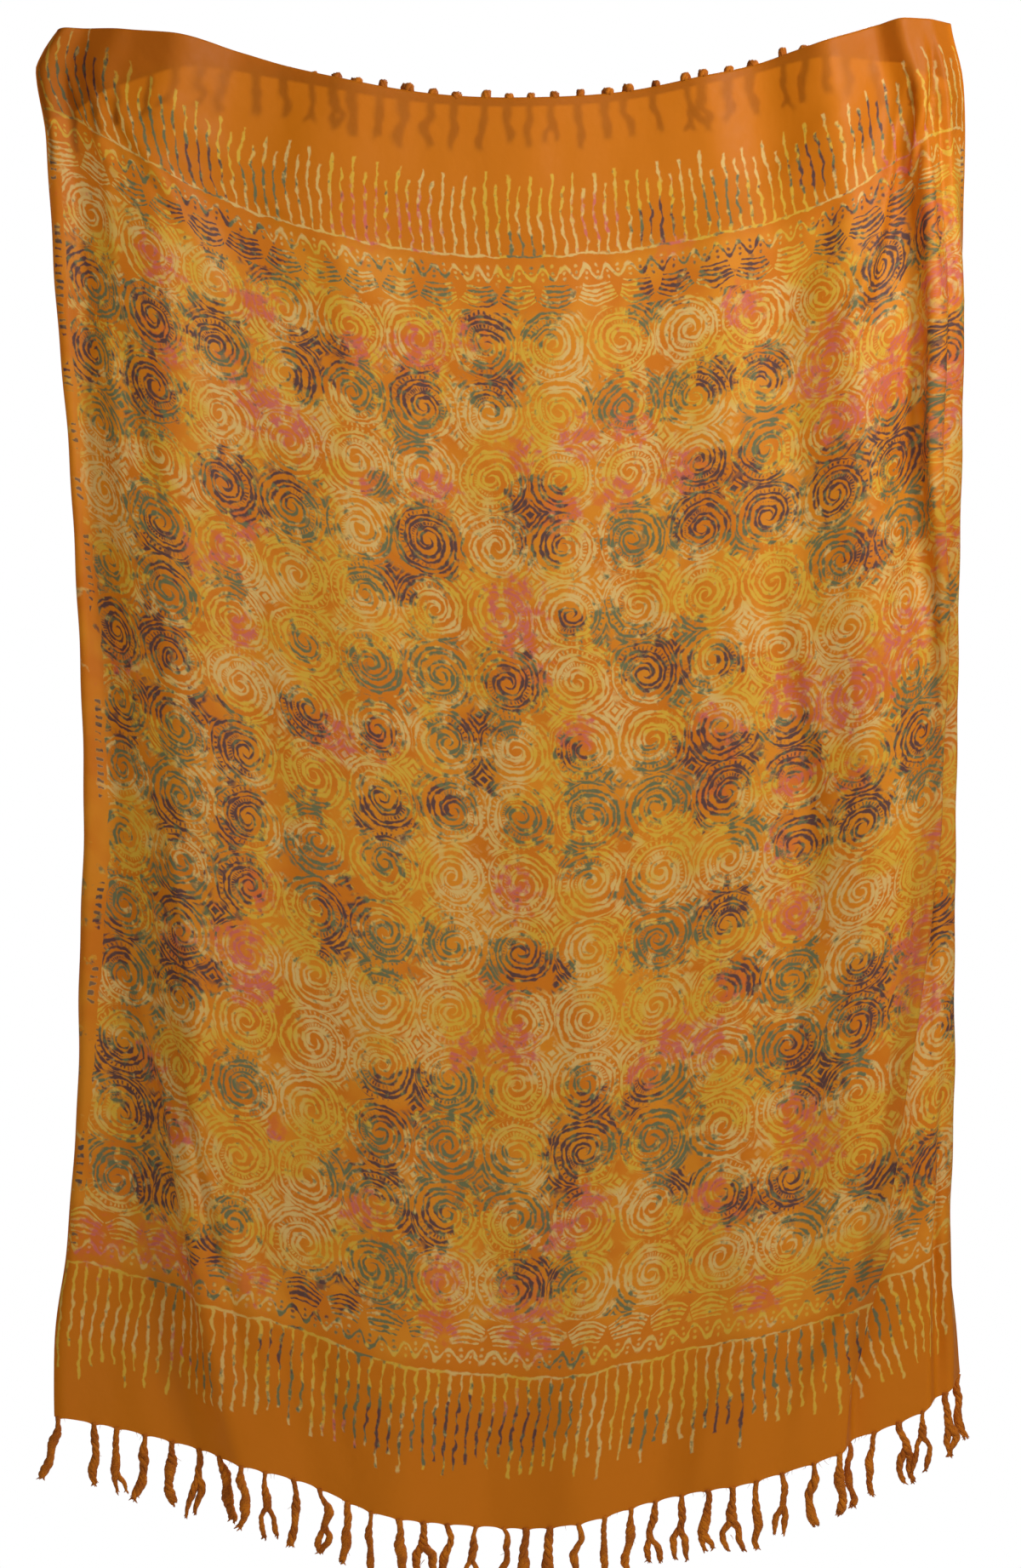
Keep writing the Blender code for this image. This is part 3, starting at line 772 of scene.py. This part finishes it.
def build_top_fringe(drape, places, material):
    """Tassels knotted into the top hem, which fall behind the cloth."""
    rng = random.Random(TASSEL_SEED + 1)
    threads = Threads()
    for place in places:
        across = np.array([place])
        turned = float(turned_at(across)[0])
        over = min(1.0, max(0.0, 1.15 - turned / 10.0))
        length = rng.uniform(*TOP_LENGTHS)
        crook = rng.uniform(1.6, 5.0)
        seed = rng.random()
        width = rng.uniform(3.8, 6.2)
        lift = rng.uniform(0.72, 1.08) * over

        def path(share):
            bend = random.Random(seed)
            drop = turned + LEAST_TURN + share * length
            spots = np.repeat(across, len(share))
            points = behind_point(drape, spots, drop)
            away = drape.backward(spots, turned + BEND_RADIUS + drop)
            slack = 2.5 * over * over * soft_step((share - 0.3) / 0.3)[:, None]
            points = points + away * (width * 0.9 + 0.6 - slack)
            points[:, 0] += wander(bend, share, crook, 3)
            rise = np.interp(share, NUB_SHARES, NUB_RISES) * lift * (1 + turned / 9.0)
            back = np.interp(share, NUB_SHARES, NUB_BACKS) * over
            points[:, 2] += rise + (share * length) * over * (share < 0.2)
            points -= away * back[:, None]
            return points

        parted = rng.uniform(0.4, 0.8) if rng.random() < 0.3 else 2.0
        tassel(threads, rng, path, width, 30, parted, 1.1, 5)
    return new_piece("top_tassels", threads.vertices, threads.faces, material)


class Graph:
    """Builds the nodes of a material or a world."""

    def __init__(self, owner):
        owner.use_nodes = True
        self.nodes = owner.node_tree.nodes
        self.links = owner.node_tree.links
        self.nodes.clear()

    def node(self, kind, inputs, output=0, **settings):
        """Add a node, fill its inputs and give one of its outputs."""
        node = self.nodes.new("ShaderNode" + kind)
        for key, value in settings.items():
            setattr(node, key, value)
        for key, value in inputs.items():
            if isinstance(value, Value):
                self.links.new(value.socket, node.inputs[key])
            else:
                node.inputs[key].default_value = value
        return Value(self, node.outputs[output])

    def finish(self, shader, kind="OutputMaterial"):
        output = self.nodes.new("ShaderNode" + kind)
        self.links.new(shader.socket, output.inputs["Surface"])

    def math(self, operation, *values, clamp=False):
        return self.node("Math", dict(enumerate(values)), operation=operation,
                         use_clamp=clamp)

    def attribute(self, name):
        return self.node("Attribute", {}, "Vector", attribute_name=name)

    def shift(self, vector, offset):
        return self.node("VectorMath", {0: vector, 1: offset}, operation="ADD")

    def stretch(self, vector, factor):
        return self.node("VectorMath", {0: vector, "Scale": factor}, operation="SCALE")

    def parts(self, vector):
        first = self.node("SeparateXYZ", {0: vector})
        return [Value(self, socket) for socket in first.socket.node.outputs]

    def noise(self, vector, size, detail, output="Fac", dimensions="2D"):
        """Noise whose features are about size long, from 0 to 1."""
        inputs = {"Vector": vector, "Scale": 1.0 / size, "Detail": detail}
        return self.node("TexNoise", inputs, output, noise_dimensions=dimensions)

    def mix(self, share, first, second):
        """A mix of two colours."""
        return self.node("Mix", {0: share, 6: first, 7: second}, 2, data_type="RGBA")

    def bump(self, height, strength, distance):
        inputs = {"Height": height, "Strength": strength, "Distance": distance}
        return self.node("Bump", inputs)


def arithmetic(operation, swapped=False):
    """An operator of Value."""
    def apply(self, other):
        pair = (other, self) if swapped else (self, other)
        return self.graph.math(operation, *pair)
    return apply


class Value:
    """One value inside a material."""

    def __init__(self, graph, socket):
        self.graph = graph
        self.socket = socket

    __add__ = arithmetic("ADD")
    __radd__ = arithmetic("ADD", swapped=True)
    __sub__ = arithmetic("SUBTRACT")
    __rsub__ = arithmetic("SUBTRACT", swapped=True)
    __mul__ = arithmetic("MULTIPLY")
    __truediv__ = arithmetic("DIVIDE")

    def __abs__(self):
        return self.graph.math("ABSOLUTE", self)

    def of(self, operation, *others):
        return self.graph.math(operation, self, *others)

    def clamped(self):
        return self.graph.math("ADD", self, 0.0, clamp=True)


def dyed(red, green, blue):
    """A colour given from 0 to 255 as it is seen."""
    shares = [value / 255 for value in (red, green, blue)]
    linear = [s / 12.92 if s <= 0.04045 else ((s + 0.055) / 1.055) ** 2.4
              for s in shares]
    return (*linear, 1.0)


def largest(first, *others):
    """The largest of several values."""
    for other in others:
        first = first.of("MAXIMUM", other)
    return first


def to_nearest(value, step, phase):
    """Distance from a value to the nearest of regular lines."""
    shifted = (value / step - (phase - 0.5)).of("FRACT")
    return abs(shifted - 0.5) * step


def drawn(distance, half_width, edge=1.5):
    """1 on a line, 0 beside it."""
    return ((half_width - distance) / edge + 0.5).clamped()


def between(value, low, high, edge=1.0):
    """1 between two limits."""
    above = ((value - low) / edge + 0.5).clamped()
    below = ((high - value) / edge + 0.5).clamped()
    return above * below


def spiral_field(across, down, half, broken):
    """Double spirals in square cells, with ticks, and stars between them."""
    cells_across = (across - MARGIN) / CELL_ACROSS
    cells_down = (down - FIELD_TOP) / CELL_DOWN
    column = cells_across.of("FLOOR")
    row = cells_down.of("FLOOR")
    aside = (cells_across - column - 0.5) * CELL_ACROSS
    below = (cells_down - row - 0.5) * CELL_DOWN
    hand = 1.0 - ((column + row) / 2.0).of("FRACT") * 4.0
    turn = (column / 2.0).of("FRACT") * 3.8 + (row / 2.0).of("FRACT") * 6.6 + 0.5
    radius = (aside * aside + below * below).of("SQRT")
    angle = below.of("ARCTAN2", aside * hand) + turn
    coil = (radius / COIL_PITCH - angle / FULL_TURN).of("FRACT") * COIL_PITCH
    arms = [to_nearest(coil, COIL_PITCH, phase) for phase in ARM_PHASES]
    spiral = drawn(arms[0].of("MINIMUM", arms[1]), half) * between(radius, 4.5, 40.4)
    ticks = drawn(to_nearest(angle, FULL_TURN / TICKS, 0.0) * radius, half * 0.62)
    ticks = ticks * between(coil, 9.2, 13.2) * between(radius, 17.0, 39.0)
    ticks = ticks * between((angle + column * 1.7 + row * 0.9).of("SINE"), -0.25, 2.0)
    rings = [abs(radius - ring) for ring in RINGS]
    corner = (CELL_ACROSS / 2 - abs(aside)) + (CELL_DOWN / 2 - abs(below))
    star = largest(drawn(rings[0].of("MINIMUM", rings[1]), half), drawn(corner, 5.0))
    star = star * ((broken - 0.36) * 9.0).clamped()
    return largest(spiral, ticks, star)


def border_rows(across, depth, half):
    """Arches, a meander with dots and a thin line, from the field outwards."""
    aside = to_nearest(across, ARCH_PITCH, 0.5)
    bulge = aside * aside * (0.006 + ((depth - 36.0) / 26.0).clamped() * 0.02)
    arches = drawn(to_nearest(depth + bulge, 6.6, 0.4), half)
    arches = arches * between(depth + bulge, 35.0, 63.0)
    arches = arches * between(aside, -1.0, 15.0 + (depth - 34.0) * 0.4)
    wave = (across * (FULL_TURN / MEANDER_LENGTH)).of("SINE")
    meander = drawn(abs(depth - MEANDER_DEPTH - wave * 7.5) * 0.62, half * 0.95)
    beside = to_nearest(across, MEANDER_LENGTH / 2, 0.5)
    below = to_nearest(depth - MEANDER_DEPTH + wave * 4.0, 7.0, 0.5)
    dots = drawn((beside * beside + below * below).of("SQRT"), 1.9)
    dots = dots * between(abs(wave), 0.6, 2.0) * between(depth, 9.0, 31.0)
    return largest(arches, meander, dots, drawn(abs(depth), half * 0.75))


def pickets(graph, across, down, depth, half):
    """Long straight and short wavy lines that stand on the thin line."""
    low = between(down, FIELD_MIDDLE, 4000.0)
    aslant = ((across - 700.0) / 260.0).clamped() * ((1120.0 - across) / 60.0).clamped()
    gathered = ((560.0 - across) / 500.0).clamped()
    lean = low * aslant * 0.26 - (1.0 - low) * gathered * gathered * 0.34
    across = across + lean * depth
    number = (across / PICKET_PITCH).of("FLOOR")
    luck = graph.node("TexWhiteNoise", {"W": number}, "Value", noise_dimensions="1D")
    odd = (number / 2.0).of("FRACT") * 2.0
    length = 93.0 - odd * 15.0 + luck * 7.0 + low * (12.0 + luck * 20.0)
    sway = (depth * 0.29 + luck * 40.0).of("SINE") * (0.1 + odd * 0.7)
    beside = (across / PICKET_PITCH - number - 0.5) * PICKET_PITCH + sway
    return drawn(abs(beside), half * 0.86) * between(depth * -1.0, 0.5, length, 2.0)


def selvage_ticks(graph, flat, across, down, depth, strip, half):
    """Short lines across the plain strips beside both selvages, in places."""
    left = abs(across - strip + 9.0)
    right = abs(across - CLOTH_WIDTH + 9.0)
    ticks = drawn(to_nearest(down, 9.0, 0.5), half)
    ticks = ticks * between(left.of("MINIMUM", right), -1.0, 4.2)
    ticks = ticks * between(graph.noise(flat, 60, 0), 0.46, 2.0, 0.02)
    return ticks * between(depth, 20.0, FAR)


def batik_material():
    """Wax lines in several dyes on an orange ground."""
    material = bpy.data.materials.new("batik_cloth")
    graph = Graph(material)
    flat = graph.attribute("flat")
    slow = graph.shift(graph.noise(flat, 40, 2, "Color"), (-0.5, -0.5, -0.5))
    quick = graph.shift(graph.noise(flat, 8, 1, "Color"), (-0.5, -0.5, -0.5))
    place = graph.shift(flat, graph.stretch(slow, 10.0))
    place = graph.shift(place, graph.stretch(quick, 2.2))
    across, down, _ = graph.parts(place)
    depth = LINE_REACH - abs(down - FIELD_MIDDLE)
    half = 1.7 + (graph.noise(flat, 11, 3) - 0.5) * 5.6

    field = spiral_field(across, down, half, graph.noise(flat, 34, 2))
    field = field * between(depth, FIELD_DEPTH, FAR)
    strip = ((down - 420.0) / 300.0).clamped() * ((1260.0 - down) / 200.0).clamped()
    strip = strip * STRIP_SWELL + LEFT_STRIP
    field = field * between(across - strip, 0.0, CLOTH_WIDTH)
    field = field * between(across, 0.0, CLOTH_WIDTH - MARGIN)
    border = largest(border_rows(across, depth, half),
                     pickets(graph, across, down, depth, half))
    border = border * between(across, SELVAGE, CLOTH_WIDTH - SELVAGE)
    ticks = selvage_ticks(graph, flat, across, down, depth, strip, half)
    blots = ((graph.noise(place, 22, 3) - 0.655) * 14.0).clamped()
    blots = blots * between(depth, 30.0, FAR) * 0.75
    wax = largest(field, border, ticks, blots)

    teal, plum, rose = graph.parts(graph.attribute("dye"))
    ragged = graph.parts(graph.noise(flat, 13, 4, "Color"))
    broad = graph.parts(graph.noise(flat, 85, 2, "Color"))
    teal = ((teal + (ragged[0] - 0.5) * 2.4 - 0.58) * 2.8 + 0.5).clamped() * 0.94
    plum = ((plum + (ragged[1] - 0.5) * 2.4 - 0.64) * 2.8 + 0.5).clamped() * 0.95
    rose = ((rose + (ragged[2] - 0.5) * 2.6 - 0.8) * 1.9 + 0.5).clamped()
    warm = ((broad[0] - 0.42) * 6.0).clamped()
    pale = ((broad[1] - 0.44) * 7.0).clamped()

    ground = graph.mix(warm, dyed(*GROUND_DEEP), dyed(*GROUND_LIGHT))
    printed = between(depth, 4.0, FAR, 24.0)
    ground = graph.mix(printed, dyed(*GROUND_BAND), ground)
    ground = graph.mix(rose * printed * 0.5, ground, dyed(*GROUND_ROSE))
    line = graph.mix(pale, dyed(*WAX_YELLOW), dyed(*WAX_BEIGE))
    line = graph.mix(rose * 0.85, line, dyed(*WAX_ROSE))
    line = graph.mix(teal, line, dyed(*WAX_TEAL))
    line = graph.mix(plum, line, dyed(*WAX_PLUM))
    line = graph.mix(ticks * 0.8, line, dyed(*WAX_PLUM))
    colour = graph.mix(wax, ground, line)

    threads = graph.noise(flat, 1.1, 1)
    crinkle = graph.noise(flat, 21, 2)
    bump = graph.bump(threads * 0.25 + crinkle * 1.6, 0.35, 0.001)
    face = graph.node("BsdfPrincipled", {
        "Base Color": colour, "Roughness": 0.46 + ragged[0] * 0.16, "Normal": bump,
        "Sheen Weight": 0.05, "Sheen Roughness": 0.4, "Specular IOR Level": 0.22})
    through = graph.node("BsdfTranslucent", {"Color": colour})
    graph.finish(graph.node("MixShader", {0: TRANSLUCENCE, 1: face, 2: through}))
    return material


def yarn_material():
    """Twisted brown orange rayon yarn."""
    material = bpy.data.materials.new("fringe_yarn")
    graph = Graph(material)
    place = graph.node("TexCoord", {}, "Object")
    shade = graph.noise(place, 1 / 60, 2, dimensions="3D")
    fleck = graph.noise(place, 1 / 900, 3, dimensions="3D")
    share = ((shade + fleck - 0.82) * 2.6).clamped()
    colour = graph.mix(share, dyed(*YARN_DARK), dyed(*YARN_LIGHT))
    graph.finish(graph.node("BsdfPrincipled", {
        "Base Color": colour, "Roughness": 0.62 + shade * 0.2, "Sheen Weight": 0.05,
        "Specular IOR Level": 0.2, "Normal": graph.bump(fleck, 0.5, 0.0006)}))
    return material


def floor_material():
    """A plain pale floor with a faint mottle."""
    material = bpy.data.materials.new("pale_floor")
    graph = Graph(material)
    mottle = graph.noise(graph.node("TexCoord", {}, "Object"), 0.3, 3)
    colour = graph.mix(mottle, (0.86, 0.86, 0.85, 1.0), (0.9, 0.9, 0.89, 1.0))
    graph.finish(graph.node("BsdfPrincipled", {"Base Color": colour, "Roughness": 0.8}))
    return material


def build_floor():
    """A plain pale floor below the hanging cloth."""
    corners = [(x, y, FLOOR_LEVEL) for x, y in ((-2, -2.4), (2, -2.4), (2, 1.1), (-2, 1.1))]
    return new_piece("floor", corners, [(0, 1, 2, 3)], floor_material())


def soft_light(light):
    """A large square light that looks at its target."""
    data = bpy.data.lights.new(light.name, "AREA")
    data.shape = "SQUARE"
    data.size = light.size
    data.energy = light.power
    lamp = bpy.data.objects.new(light.name, data)
    lamp.location = light.place
    way = Vector(light.target) - Vector(light.place)
    lamp.rotation_euler = way.to_track_quat("-Z", "Y").to_euler()
    bpy.context.scene.collection.objects.link(lamp)


def build_world():
    """A white surround that lights the cloth only gently."""
    world = bpy.data.worlds.new("studio")
    graph = Graph(world)
    white = (1.0, 1.0, 1.0, 1.0)
    lit = graph.node("Background", {"Color": white, "Strength": WORLD_LIGHT})
    seen = graph.node("Background", {"Color": white, "Strength": 1.0})
    direct = graph.node("LightPath", {}, "Is Camera Ray")
    graph.finish(graph.node("MixShader", {0: direct, 1: lit, 2: seen}), "OutputWorld")
    bpy.context.scene.world = world


def build_camera():
    """A level camera straight in front of the cloth."""
    data = bpy.data.cameras.new("camera")
    data.lens = CAMERA_LENS
    data.sensor_width = 36.0
    camera = bpy.data.objects.new("camera", data)
    camera.location = CAMERA_PLACE
    camera.rotation_euler = (math.pi / 2, 0.0, 0.0)
    bpy.context.scene.collection.objects.link(camera)
    bpy.context.scene.camera = camera


build_camera()
build_world()
for studio_light in LIGHTS:
    soft_light(studio_light)
bpy.context.scene.view_settings.view_transform = "Standard"

cloth_finish = batik_material()
yarn_finish = yarn_material()
drape = Drape(across_steps=1165, level_steps=112)
bottom_places = tassel_places(random.Random(TASSEL_SEED + 2))
top_places = tassel_places(random.Random(TASSEL_SEED + 3))
cloth, cloth_points = build_cloth(drape, bottom_places, cloth_finish)
hem_across = gathered_columns(COLUMNS, CLOTH_LENGTH)
bottom_fringe = build_bottom_fringe(bottom_places, cloth_points[-1], hem_across,
                                    yarn_finish)
top_fringe = build_top_fringe(drape, top_places, yarn_finish)
floor = build_floor()

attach(cloth, "root")
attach(bottom_fringe, "root")
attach(top_fringe, "root")
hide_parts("cloth")
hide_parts("fringe_bottom")
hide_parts("fringe_top")
